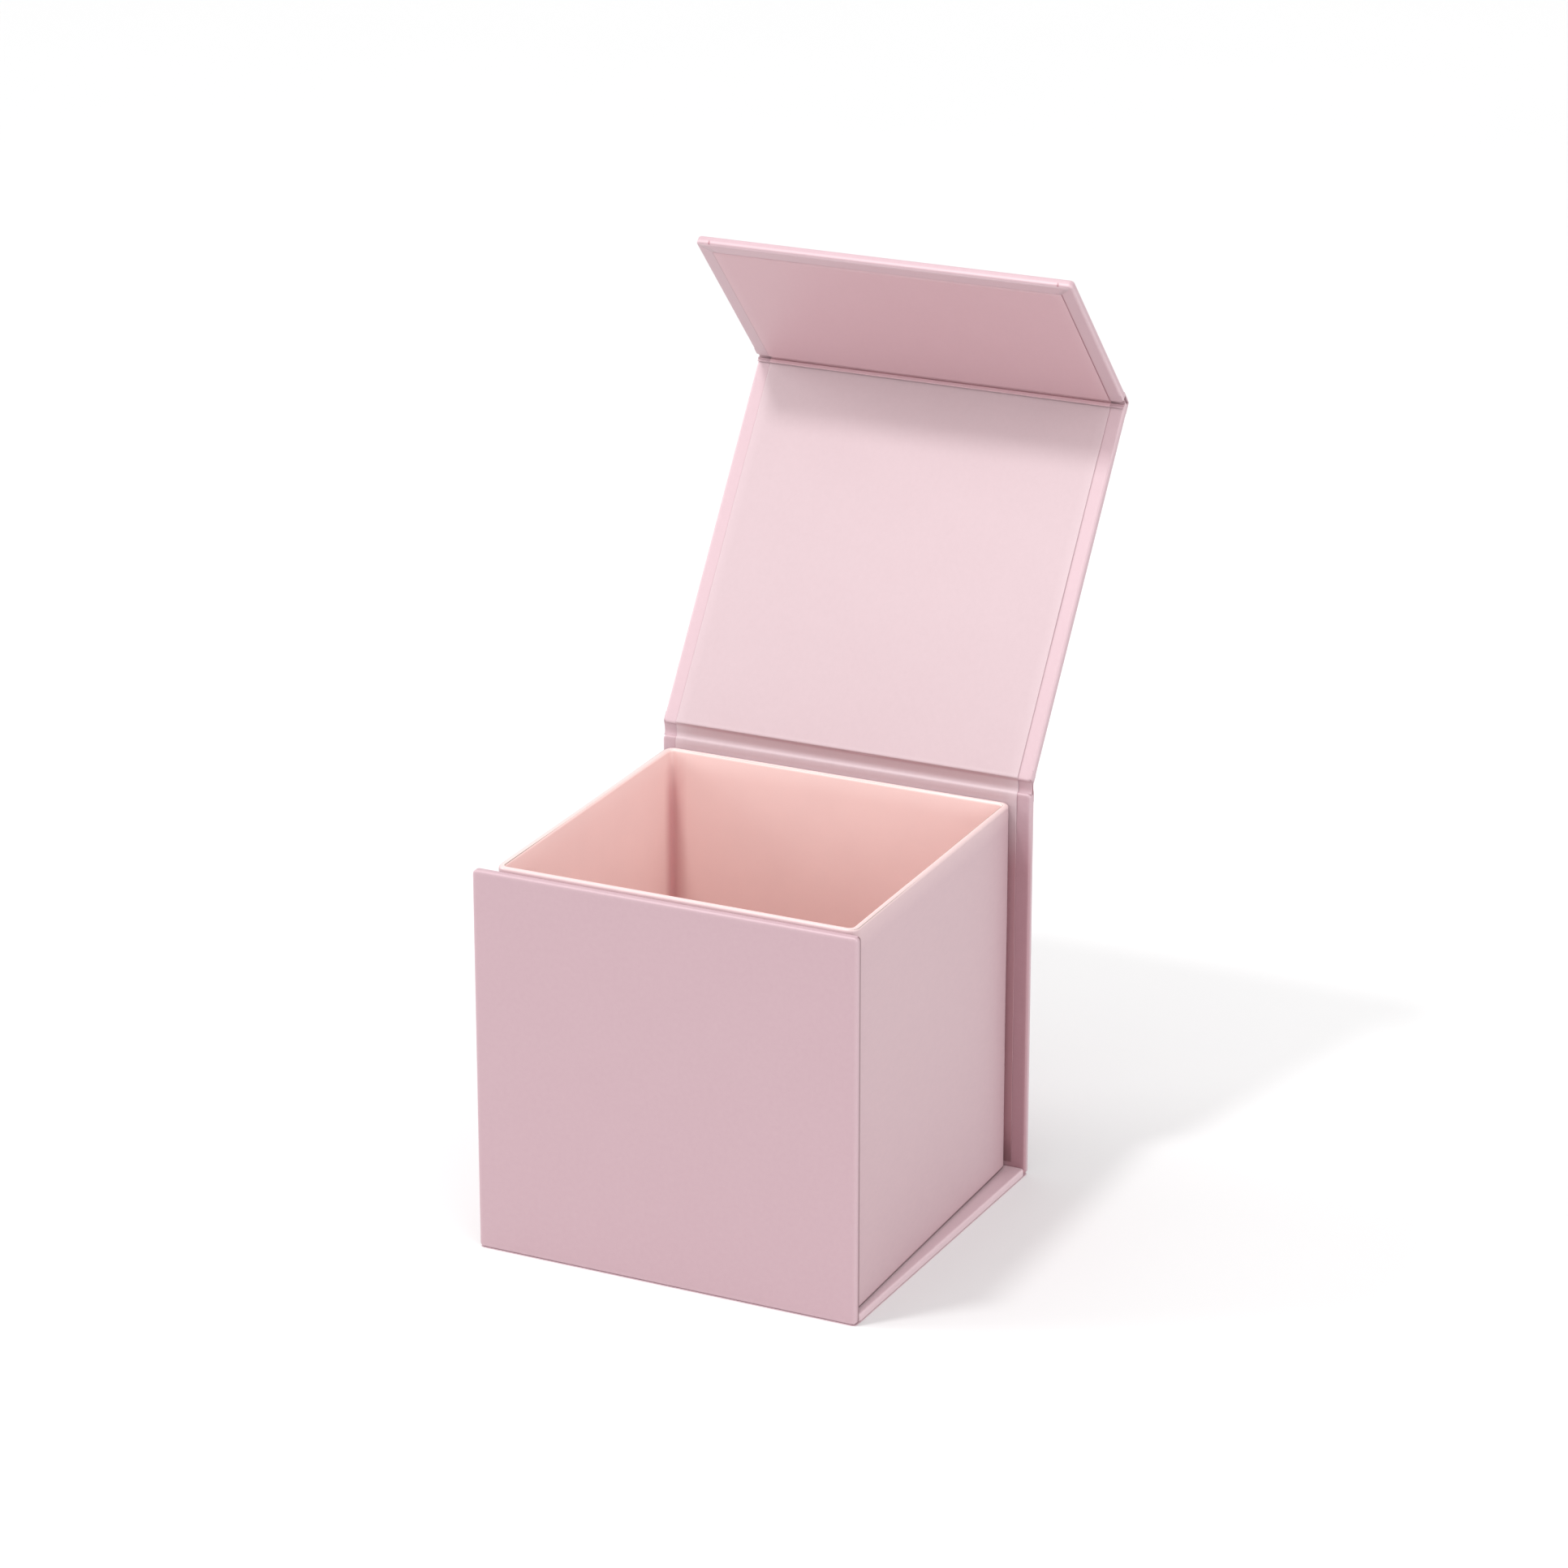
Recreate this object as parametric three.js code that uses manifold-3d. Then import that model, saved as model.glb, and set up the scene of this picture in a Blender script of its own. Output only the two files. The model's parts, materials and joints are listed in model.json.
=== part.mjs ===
// A rigid gift and flower box with a hinged lid and a magnetic closure flap.
//
// Five greyboard panels covered by one strip of paper (front, base, back, lid and flap) fold round an
// open-topped tray. The tray is glued to the front, the base and the back. The lid folds on the joint
// above the back panel, and the flap folds on the joint at the lid's far edge and lies over the front,
// where magnets in the flap meet magnets in the front panel.
//
// Millimetres, +Z up. The origin is the middle of the underside, +X is the width and -Y faces the front.
import * as THREE from "three";
import { mergeVertices } from "three/addons/utils/BufferGeometryUtils.js";
import Module from "manifold-3d";

const wasm = await Module();
wasm.setup();

// ---- Driving dimensions ----
const CASE_WIDTH = 110; // every case panel, along X
const CASE_DEPTH = 108; // outer face of the front panel to outer face of the back panel
const FRONT_HEIGHT = 106.2; // floor to the top of the front panel
const RIM_HEIGHT = 107.2; // floor to the tray's rim
const FLAP_LENGTH = 54.8; // top of the flap's panel to its free edge

const CASE_BOARD = 2; // thickness of the case's greyboard
const BOARD_CORNER_RADIUS = 1; // of the case's boards, seen flat
const TRAY_BOARD = 1.2; // thickness of the tray's greyboard
const PAPER = 0.15; // thickness of the covering paper
const GLUE = 0.05; // film between two glued layers
const TURN_IN = 15; // width of the paper folded over a board's edge
const LINER_INSET = 4; // bare turn-in left between a liner and the panel's edge

const TRAY_MARGIN = 3.5; // the case's side edge to the tray
const TRAY_RACK = 3.8; // how much further left the tray's back lies than its front, out of square
const TRAY_CORNER_RADIUS = 3; // outside of the tray's upright corners
const STAY_THICKNESS = 0.1; // paper tape that holds the tray's corners
const STAY_REACH = 12; // how far the tape reaches along each wall

const LID_JOINT = 3; // paper between the back panel and the lid's board
const FLAP_JOINT = 3; // paper between the lid's board and the flap's board
const LID_REST_GAP = 0.3; // lining of the closed lid to the tray's rim
const FLAP_REST_GAP = 0.3; // lining of the closed flap to the front panel

const LID_OPENING = 123.5; // degrees from the closed lid to the lid at rest
const FLAP_FOLD = 76; // degrees from a flap in line with the lid to the flap at rest
const SQUARE = 90; // degrees of the flap's fold in the closed box

const MAGNET_DIAMETER = 10;
const MAGNET_THICKNESS = 1;
const MAGNET_SPACING = 60; // between the two magnets of a panel
const MAGNET_EDGE = 14; // the flap's free edge to the middle of a magnet
const POCKET_CLEARANCE = 0.1; // round a magnet and under it

// ---- Sizes that follow ----
const SKIN = PAPER + GLUE;
const PANEL = CASE_BOARD + 2 * SKIN; // a case panel with paper on both faces
const LINED = PANEL + SKIN; // a case panel with a liner as well
const FRONT_Y = -CASE_DEPTH / 2;
const BACK_Y = CASE_DEPTH / 2;
const HALF_WIDTH = CASE_WIDTH / 2;

const CASE_HEIGHT = RIM_HEIGHT + LID_REST_GAP + LINED; // top of the closed lid and of the back panel
const LID_BACK_Y = BACK_Y - LID_JOINT;
const FLAP_OUTER_Y = FRONT_Y - FLAP_REST_GAP - LINED;
const FLAP_HINGE_PAPER = SKIN; // thickness of the paper in the flap's joint
const LID_FRONT_Y = FLAP_OUTER_Y + FLAP_HINGE_PAPER + 0.3;
const LID_LENGTH = LID_BACK_Y - LID_FRONT_Y;
const FLAP_TOP_Z = CASE_HEIGHT - FLAP_JOINT;

// The joints' axes run along X through these points of the closed box.
const LID_AXIS = { y: BACK_Y - 1, z: CASE_HEIGHT + 0.5 };
const FLAP_AXIS = { y: FLAP_OUTER_Y + FLAP_HINGE_PAPER / 2, z: CASE_HEIGHT - FLAP_HINGE_PAPER / 2 };

const TRAY_X0 = -HALF_WIDTH + TRAY_MARGIN;
const TRAY_X1 = HALF_WIDTH - TRAY_MARGIN;
const TRAY_Y0 = FRONT_Y + PANEL + GLUE;
const TRAY_Y1 = BACK_Y - LINED - GLUE;
const TRAY_Z0 = PANEL + GLUE;
const TRAY_WALL = TRAY_BOARD + 2 * SKIN + STAY_THICKNESS + GLUE;
// Depths below the tray's outer face.
const STAY_DEPTH = SKIN;
const WALL_BOARD_DEPTH = STAY_DEPTH + STAY_THICKNESS + GLUE;
const LINING_DEPTH = WALL_BOARD_DEPTH + TRAY_BOARD + GLUE;
const TRAY_FLOOR_TOP = TRAY_Z0 + SKIN + TRAY_BOARD;

// ---- Materials ----
const paint = (color, roughness, metalness = 0) =>
  new THREE.MeshStandardMaterial({ color, roughness, metalness });
const MATT_PINK = "#d6b6bf";
const SALMON_PINK = "#e3bab8";
const GREYBOARD = "#9b9286";
const coverPaper = () => paint(MATT_PINK, 0.62);
const liningPaper = () => paint(SALMON_PINK, 0.7);
const greyboard = () => paint(GREYBOARD, 0.95);
const kraftTape = () => paint("#b9976b", 0.8);
const nickel = () => paint("#b9babd", 0.3, 1);

// ---- Solids ----
function toSolid(geometry) {
  const bare = geometry.clone();
  bare.deleteAttribute("normal");
  bare.deleteAttribute("uv");
  const merged = mergeVertices(bare);
  return new wasm.Manifold(
    new wasm.Mesh({
      numProp: 3,
      vertProperties: new Float32Array(merged.attributes.position.array),
      triVerts: new Uint32Array(merged.index.array),
    }),
  );
}

function toGeometry(solid) {
  const { vertProperties, triVerts } = solid.getMesh();
  const geometry = new THREE.BufferGeometry();
  geometry.setAttribute("position", new THREE.BufferAttribute(vertProperties, 3));
  geometry.setIndex(new THREE.BufferAttribute(triVerts, 1));
  geometry.computeVertexNormals();
  return geometry;
}

// A block between two corners.
function block([x0, y0, z0], [x1, y1, z1]) {
  const geometry = new THREE.BoxGeometry(x1 - x0, y1 - y0, z1 - z0);
  return geometry.translate((x0 + x1) / 2, (y0 + y1) / 2, (z0 + z1) / 2);
}

function cut(body, ...tools) {
  return toGeometry(tools.reduce((rest, tool) => rest.subtract(toSolid(tool)), toSolid(body)));
}

function join(...bodies) {
  return toGeometry(bodies.map(toSolid).reduce((whole, body) => whole.add(body)));
}

function mesh(name, geometry, material) {
  const piece = new THREE.Mesh(geometry, material);
  piece.name = name;
  return piece;
}

function roundedRectangle(x0, x1, y0, y1, r, Kind = THREE.Shape) {
  const outline = new Kind();
  outline.moveTo(x0 + r, y0);
  outline.absarc(x1 - r, y0 + r, r, -Math.PI / 2, 0);
  outline.absarc(x1 - r, y1 - r, r, 0, Math.PI / 2);
  outline.absarc(x0 + r, y1 - r, r, Math.PI / 2, Math.PI);
  outline.absarc(x0 + r, y0 + r, r, Math.PI, 1.5 * Math.PI);
  return outline;
}

// A flat shape given height, from z0 to z1.
function raise(shape, z0, z1) {
  const curveSegments = 5; // in each rounded corner
  const depth = z1 - z0;
  const geometry = new THREE.ExtrudeGeometry(shape, { depth, bevelEnabled: false, curveSegments });
  return geometry.translate(0, 0, z0);
}

// ---- Case panels ----
// A panel's own frame: the outer face is z = 0 with the board below it, x = 0 is the middle of the
// width, and y runs along the panel from its first end.
function panelFrame(origin, along, outward) {
  const y = new THREE.Vector3(...along);
  const z = new THREE.Vector3(...outward);
  const frame = new THREE.Group();
  frame.applyMatrix4(
    new THREE.Matrix4()
      .makeBasis(new THREE.Vector3().crossVectors(y, z), y, z)
      .setPosition(...origin),
  );
  return frame;
}

function panelBoard(length) {
  const [x0, x1] = [-HALF_WIDTH + SKIN, HALF_WIDTH - SKIN];
  const [y0, y1] = [SKIN, length - SKIN];
  const outline = roundedRectangle(x0, x1, y0, y1, BOARD_CORNER_RADIUS);
  return raise(outline, -SKIN - CASE_BOARD, -SKIN);
}

// The paper round a panel: the outer face, the two side edges and the turn-ins on the inner face. An
// end that meets a fold is left open, and a free end is covered and turned in.
function panelWrap(length, { coveredEnd }) {
  const sheet = block([-HALF_WIDTH, 0, -PANEL], [HALF_WIDTH, length, 0]);
  const past = 1;
  const boardEnd = coveredEnd ? length - PAPER : length + past;
  const windowEnd = coveredEnd ? length - TURN_IN : length + past;
  const boardSpace = block(
    [-HALF_WIDTH + PAPER, -past, -PANEL + PAPER],
    [HALF_WIDTH - PAPER, boardEnd, -PAPER],
  );
  const window = block(
    [-HALF_WIDTH + TURN_IN, -past, -PANEL - past],
    [HALF_WIDTH - TURN_IN, windowEnd, -PANEL / 2],
  );
  return cut(sheet, boardSpace, window);
}

// A liner lies on the turn-ins, set in from the side edges.
function panelLiner(start, end) {
  return block(
    [-HALF_WIDTH + LINER_INSET, start, -LINED],
    [HALF_WIDTH - LINER_INSET, end, -PANEL - GLUE],
  );
}

function magnetPlace(side) {
  return (side * MAGNET_SPACING) / 2;
}

// A disc with its axis along z and its outer face at z = top.
function disc(radius, thickness, x, y, top) {
  const geometry = new THREE.CylinderGeometry(radius, radius, thickness, 40);
  geometry.rotateX(Math.PI / 2);
  return geometry.translate(x, y, top - thickness / 2);
}

const MAGNET_RADIUS = MAGNET_DIAMETER / 2;
const POCKET_RADIUS = MAGNET_RADIUS + POCKET_CLEARANCE;
const POCKET_DEPTH = MAGNET_THICKNESS + 2 * POCKET_CLEARANCE;
const SIDES = { left: -1, right: 1 };

// ---- Front, base and back ----
function frontPanel() {
  const frame = panelFrame([0, FRONT_Y, SKIN], [0, 0, 1], [0, -1, 0]);
  const length = FRONT_HEIGHT - SKIN;
  const magnetHeight = FLAP_TOP_Z - FLAP_LENGTH + MAGNET_EDGE - SKIN;
  const boardFace = -SKIN;
  const pockets = Object.values(SIDES).map((side) =>
    disc(POCKET_RADIUS, POCKET_DEPTH + 1, magnetPlace(side), magnetHeight, boardFace + 1),
  );
  frame.add(
    mesh("front_board", cut(panelBoard(length), ...pockets), greyboard()),
    mesh("front_wrap", panelWrap(length, { coveredEnd: true }), coverPaper()),
  );
  for (const [name, side] of Object.entries(SIDES)) {
    const top = boardFace - POCKET_CLEARANCE;
    const magnet = disc(MAGNET_RADIUS, MAGNET_THICKNESS, magnetPlace(side), magnetHeight, top);
    frame.add(mesh(`front_magnet_${name}`, magnet, nickel()));
  }
  return frame;
}

// The base's board lies between the front and the back. Its paper runs on under both of them.
function basePanel() {
  const start = FRONT_Y + PANEL + GLUE;
  const length = CASE_DEPTH - 2 * (PANEL + GLUE);
  const frame = panelFrame([0, start, 0], [0, 1, 0], [0, 0, -1]);
  const overlap = PANEL + GLUE;
  const underside = block(
    [-HALF_WIDTH, -overlap, -PAPER],
    [HALF_WIDTH, length + overlap, 0],
  );
  frame.add(
    mesh("base_board", panelBoard(length), greyboard()),
    mesh("base_wrap", join(panelWrap(length, { coveredEnd: false }), underside), coverPaper()),
  );
  return frame;
}

function backPanel() {
  const frame = panelFrame([0, BACK_Y, SKIN], [0, 0, 1], [0, 1, 0]);
  const length = CASE_HEIGHT - SKIN;
  const linerStart = PANEL + 1; // the liner runs down behind the tray, to just above the base
  frame.add(
    mesh("back_board", panelBoard(length), greyboard()),
    mesh("back_wrap", panelWrap(length, { coveredEnd: true }), coverPaper()),
    mesh("back_liner", panelLiner(linerStart, length), coverPaper()),
  );
  return frame;
}

// ---- Tray ----
// The tray is drawn square, and its finished pieces are then sheared to lie as they are glued in.
function racked(pieces) {
  const slope = -TRAY_RACK / (TRAY_Y1 - TRAY_Y0);
  const shear = new THREE.Matrix4().makeShear(0, 0, slope, 0, 0, 0);
  for (const piece of pieces) piece.geometry.applyMatrix4(shear);
  return pieces;
}

// The tray's outline, set in by a depth below its outer face.
function trayOutline(depth, Kind) {
  const [x0, x1] = [TRAY_X0 + depth, TRAY_X1 - depth];
  const [y0, y1] = [TRAY_Y0 + depth, TRAY_Y1 - depth];
  return roundedRectangle(x0, x1, y0, y1, TRAY_CORNER_RADIUS - depth, Kind);
}

// A closed ring between two depths below the tray's outer face.
function trayRing(outerDepth, innerDepth, z0, z1) {
  const shape = trayOutline(outerDepth);
  shape.holes.push(trayOutline(innerDepth, THREE.Path));
  return raise(shape, z0, z1);
}

// One of the four sectors between the tray's diagonals, for cutting the ring into four walls with
// mitred corners. A small gap is left in each mitre.
function wallSector(name) {
  const mitreGap = 0.1;
  const far = 2 * CASE_WIDTH;
  const turn = { front: 0, right: 1, back: 2, left: 3 }[name];
  const outward = new THREE.Vector2(0, -1).rotateAround(new THREE.Vector2(), (turn * Math.PI) / 2);
  const centre = new THREE.Vector2((TRAY_X0 + TRAY_X1) / 2, (TRAY_Y0 + TRAY_Y1) / 2);
  const tip = outward.clone().multiplyScalar(mitreGap).add(centre);
  const corner = (angle) =>
    outward.clone().rotateAround(new THREE.Vector2(), angle).multiplyScalar(far).add(tip);
  const shape = new THREE.Shape([tip, corner(-Math.PI / 4), corner(Math.PI / 4)]);
  return raise(shape, 0, 2 * RIM_HEIGHT);
}

const WALLS = ["front", "back", "left", "right"];
const WALL_BOARD_Z0 = TRAY_Z0 + SKIN;
const WALL_BOARD_Z1 = RIM_HEIGHT - SKIN;

function trayWalls() {
  const innerDepth = WALL_BOARD_DEPTH + TRAY_BOARD;
  const ring = toSolid(trayRing(WALL_BOARD_DEPTH, innerDepth, WALL_BOARD_Z0, WALL_BOARD_Z1));
  return WALLS.map((name) =>
    mesh(
      `tray_${name}_board`,
      toGeometry(ring.intersect(toSolid(wallSector(name)))),
      greyboard(),
    ),
  );
}

function trayFloor() {
  const boardEdge = WALL_BOARD_DEPTH + TRAY_BOARD + 0.1;
  const liningEdge = TRAY_WALL + 0.1;
  return [
    mesh(
      "tray_floor_board",
      raise(trayOutline(boardEdge), TRAY_Z0 + SKIN, TRAY_FLOOR_TOP),
      greyboard(),
    ),
    mesh(
      "tray_floor_lining",
      raise(trayOutline(liningEdge), TRAY_FLOOR_TOP + GLUE, TRAY_FLOOR_TOP + SKIN),
      liningPaper(),
    ),
  ];
}

// A strip of tape folded round each upright corner, under the covering paper.
function cornerStays() {
  const [z0, z1] = [WALL_BOARD_Z0 + 1, WALL_BOARD_Z1 - 1];
  const tape = toSolid(trayRing(STAY_DEPTH, STAY_DEPTH + STAY_THICKNESS, z0, z1));
  const stays = [];
  for (const [depthName, y] of Object.entries({ front: TRAY_Y0, back: TRAY_Y1 }))
    for (const [sideName, x] of Object.entries({ left: TRAY_X0, right: TRAY_X1 })) {
      const reach = block(
        [x - STAY_REACH, y - STAY_REACH, 0],
        [x + STAY_REACH, y + STAY_REACH, 2 * RIM_HEIGHT],
      );
      const stay = toGeometry(tape.intersect(toSolid(reach)));
      stays.push(mesh(`tray_stay_${depthName}_${sideName}`, stay, kraftTape()));
    }
  return stays;
}

// The tray's paper: outside, over the rim, down the inside to the floor, and turned in underneath.
function trayWrap() {
  const body = raise(trayOutline(0), TRAY_Z0, RIM_HEIGHT);
  const above = RIM_HEIGHT + 1;
  const inside = raise(trayOutline(TRAY_WALL), TRAY_FLOOR_TOP, above);
  const wallSpace = trayRing(PAPER, LINING_DEPTH, TRAY_Z0 + PAPER, RIM_HEIGHT - PAPER);
  const floorSpace = raise(trayOutline(PAPER), TRAY_Z0 + PAPER, TRAY_FLOOR_TOP + GLUE);
  const below = TRAY_Z0 - 1;
  const underside = new THREE.Shape([
    new THREE.Vector2(TRAY_X0 + TURN_IN, TRAY_Y0 + TURN_IN),
    new THREE.Vector2(TRAY_X1 - TURN_IN, TRAY_Y0 + TURN_IN),
    new THREE.Vector2(TRAY_X1 - TURN_IN, TRAY_Y1 - TURN_IN),
    new THREE.Vector2(TRAY_X0 + TURN_IN, TRAY_Y1 - TURN_IN),
  ]);
  const opening = raise(underside, below, TRAY_Z0 + SKIN);
  return mesh("tray_wrap", cut(body, inside, wallSpace, floorSpace, opening), coverPaper());
}

// ---- Lid and flap, in the closed box ----
function lidPanel() {
  const frame = panelFrame([0, LID_BACK_Y, CASE_HEIGHT], [0, -1, 0], [0, 0, 1]);
  const endGap = 0.3;
  frame.add(
    mesh("lid_board", panelBoard(LID_LENGTH), greyboard()),
    mesh("lid_wrap", panelWrap(LID_LENGTH, { coveredEnd: false }), coverPaper()),
    mesh("lid_liner", panelLiner(endGap, LID_LENGTH - endGap), coverPaper()),
  );
  return frame;
}

function flapPanel() {
  const frame = panelFrame([0, FLAP_OUTER_Y, FLAP_TOP_Z], [0, 0, -1], [0, -1, 0]);
  const magnetY = FLAP_LENGTH - MAGNET_EDGE;
  const innerFace = -SKIN - CASE_BOARD; // the pockets open towards the liner
  const pockets = Object.values(SIDES).map((side) =>
    disc(POCKET_RADIUS, POCKET_DEPTH + 1, magnetPlace(side), magnetY, innerFace + POCKET_DEPTH),
  );
  const topGap = 0.3;
  frame.add(
    mesh("flap_board", cut(panelBoard(FLAP_LENGTH), ...pockets), greyboard()),
    mesh("flap_wrap", panelWrap(FLAP_LENGTH, { coveredEnd: true }), coverPaper()),
    mesh("flap_liner", panelLiner(topGap, FLAP_LENGTH - LINER_INSET), coverPaper()),
  );
  for (const [name, side] of Object.entries(SIDES)) {
    const top = innerFace + POCKET_CLEARANCE + MAGNET_THICKNESS;
    // The panel's own x runs the other way to the box's.
    const magnet = disc(MAGNET_RADIUS, MAGNET_THICKNESS, -magnetPlace(side), magnetY, top);
    frame.add(mesh(`flap_magnet_${name}`, magnet, nickel()));
  }
  return frame;
}

// The paper of the flap's joint runs from the axis to the flap and turns with it.
function flapHingePaper() {
  const end = FLAP_TOP_Z + GLUE;
  const strip = block(
    [-HALF_WIDTH, FLAP_OUTER_Y, end],
    [HALF_WIDTH, FLAP_OUTER_Y + FLAP_HINGE_PAPER, FLAP_AXIS.z],
  );
  return mesh("flap_hinge_paper", strip, coverPaper());
}

// ---- Joints ----
// A group that turns about an axis along X. Its contents keep the closed box's coordinates.
function turned(axis, degrees, ...contents) {
  const pivot = new THREE.Group();
  pivot.position.set(0, axis.y, axis.z);
  pivot.rotation.x = THREE.MathUtils.degToRad(degrees);
  const back = new THREE.Group();
  back.position.set(0, -axis.y, -axis.z);
  back.add(...contents);
  pivot.add(back);
  return pivot;
}

// Where a point of the closed lid lies once the lid is open.
function openedWithLid(y, z) {
  const angle = THREE.MathUtils.degToRad(-LID_OPENING);
  const [dy, dz] = [y - LID_AXIS.y, z - LID_AXIS.z];
  return new THREE.Vector2(
    LID_AXIS.y + dy * Math.cos(angle) - dz * Math.sin(angle),
    LID_AXIS.z + dy * Math.sin(angle) + dz * Math.cos(angle),
  );
}

// The paper of the lid's joint, from the back panel's outer top edge to the lid's outer edge.
function lidHingePaper() {
  const thickness = 2 * PAPER; // cover and liner glued together
  const endGap = 0.2;
  const from = new THREE.Vector2(BACK_Y - thickness / 2, CASE_HEIGHT);
  const to = openedWithLid(LID_BACK_Y, CASE_HEIGHT - thickness / 2);
  const along = to.clone().sub(from);
  const strip = new THREE.BoxGeometry(CASE_WIDTH, thickness, along.length() - 2 * endGap);
  const piece = mesh("lid_hinge_paper", strip, coverPaper());
  piece.position.set(0, (from.x + to.x) / 2, (from.y + to.y) / 2);
  piece.rotation.x = -Math.atan2(along.x, along.y);
  return piece;
}

// ---- The whole box, with the lid and the flap as they rest when it stands open ----
const box = new THREE.Group();
box.add(frontPanel(), basePanel(), backPanel());
box.add(...racked([...trayWalls(), ...trayFloor(), ...cornerStays(), trayWrap()]));
box.add(lidHingePaper());

const flap = turned(FLAP_AXIS, FLAP_FOLD - SQUARE, flapPanel(), flapHingePaper());
const lid = turned(LID_AXIS, -LID_OPENING, lidPanel(), flap);

const flowerBox = new THREE.Group();
flowerBox.add(box, lid);

export default flowerBox;
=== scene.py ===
import json
import math

import bmesh
import bpy
import numpy as np
from mathutils import Matrix, Vector, noise


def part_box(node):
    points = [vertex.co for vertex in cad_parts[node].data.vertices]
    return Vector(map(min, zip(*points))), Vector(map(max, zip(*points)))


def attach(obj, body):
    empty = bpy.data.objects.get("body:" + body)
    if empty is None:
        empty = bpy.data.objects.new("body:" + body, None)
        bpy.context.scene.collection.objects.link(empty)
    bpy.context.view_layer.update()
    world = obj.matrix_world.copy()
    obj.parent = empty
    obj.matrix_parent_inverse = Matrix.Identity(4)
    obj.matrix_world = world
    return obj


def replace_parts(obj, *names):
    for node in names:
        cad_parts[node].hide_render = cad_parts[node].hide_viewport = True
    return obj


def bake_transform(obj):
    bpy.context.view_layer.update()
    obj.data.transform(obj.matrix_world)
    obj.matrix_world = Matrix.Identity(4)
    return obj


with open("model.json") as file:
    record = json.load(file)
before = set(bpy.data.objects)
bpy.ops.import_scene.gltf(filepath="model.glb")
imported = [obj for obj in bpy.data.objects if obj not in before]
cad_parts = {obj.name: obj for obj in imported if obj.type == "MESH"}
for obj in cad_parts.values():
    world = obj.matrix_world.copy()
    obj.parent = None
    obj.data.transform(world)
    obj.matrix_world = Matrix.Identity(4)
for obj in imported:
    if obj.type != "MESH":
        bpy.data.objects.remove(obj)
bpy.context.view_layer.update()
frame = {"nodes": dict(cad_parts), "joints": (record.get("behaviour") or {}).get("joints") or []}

MM = 0.001

# ---- Where the frame puts things ----
JOINTS = {joint["name"]: joint for joint in frame["joints"]}


def turn_about_x(y, z, degrees):
    """A turn about the line along X through (y, z)."""
    centre = Matrix.Translation((0, y, z))
    return centre @ Matrix.Rotation(math.radians(degrees), 4, "X") @ centre.inverted()


def opening(joint):
    """Degrees from the closed box, the joint's lower limit, to the joint at rest."""
    return -JOINTS[joint]["range_deg"][0]


def axis_at_rest(joint):
    return Vector(JOINTS[joint]["pos_m"])


# Both axes point along -X, so opening is a negative turn about +X.
LID_AXIS = axis_at_rest("lid_hinge")
LID_TO_REST = turn_about_x(LID_AXIS.y, LID_AXIS.z, -opening("lid_hinge"))
FLAP_AXIS = LID_TO_REST.inverted() @ axis_at_rest("flap_hinge")  # in the closed box


def flap_to_rest(share=1.0):
    """From the closed box to rest, with only a share of the flap's own opening."""
    own_turn = turn_about_x(FLAP_AXIS.y, FLAP_AXIS.z, -share * opening("flap_hinge"))
    return LID_TO_REST @ own_turn


TO_REST = {"box": Matrix.Identity(4), "lid": LID_TO_REST, "flap": flap_to_rest()}


def closed_box(node, body):
    """A node's lowest and highest corners in the closed box."""
    to_closed = TO_REST[body].inverted()
    points = np.array([to_closed @ v.co for v in frame["nodes"][node].data.vertices])
    return Vector(points.min(0)), Vector(points.max(0))


BACK_LO, BACK_HI = closed_box("back_wrap", "box")
LID_LO, LID_HI = closed_box("lid_wrap", "lid")
FLAP_LO, FLAP_HI = closed_box("flap_wrap", "flap")
LINER_LO, LINER_HI = closed_box("lid_liner", "lid")
BACK_LINER_LO, BACK_LINER_HI = closed_box("back_liner", "box")
FLAP_LINER_LO, FLAP_LINER_HI = closed_box("flap_liner", "flap")
TRAY_LO, TRAY_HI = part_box("tray_wrap")
FLOOR_LO, FLOOR_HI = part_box("tray_floor_lining")

PAPER = 0.15 * MM
LINER_INSET = LID_HI.x - LINER_HI.x
LINER_LIFT = LID_LO.z - LINER_LO.z  # the liner's height above the turned-in paper
EDGE_RADIUS = 0.6 * MM  # of a covered board's edges
CORNER_RADIUS = 1.2 * MM  # of a covered board's corners, seen flat


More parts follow.
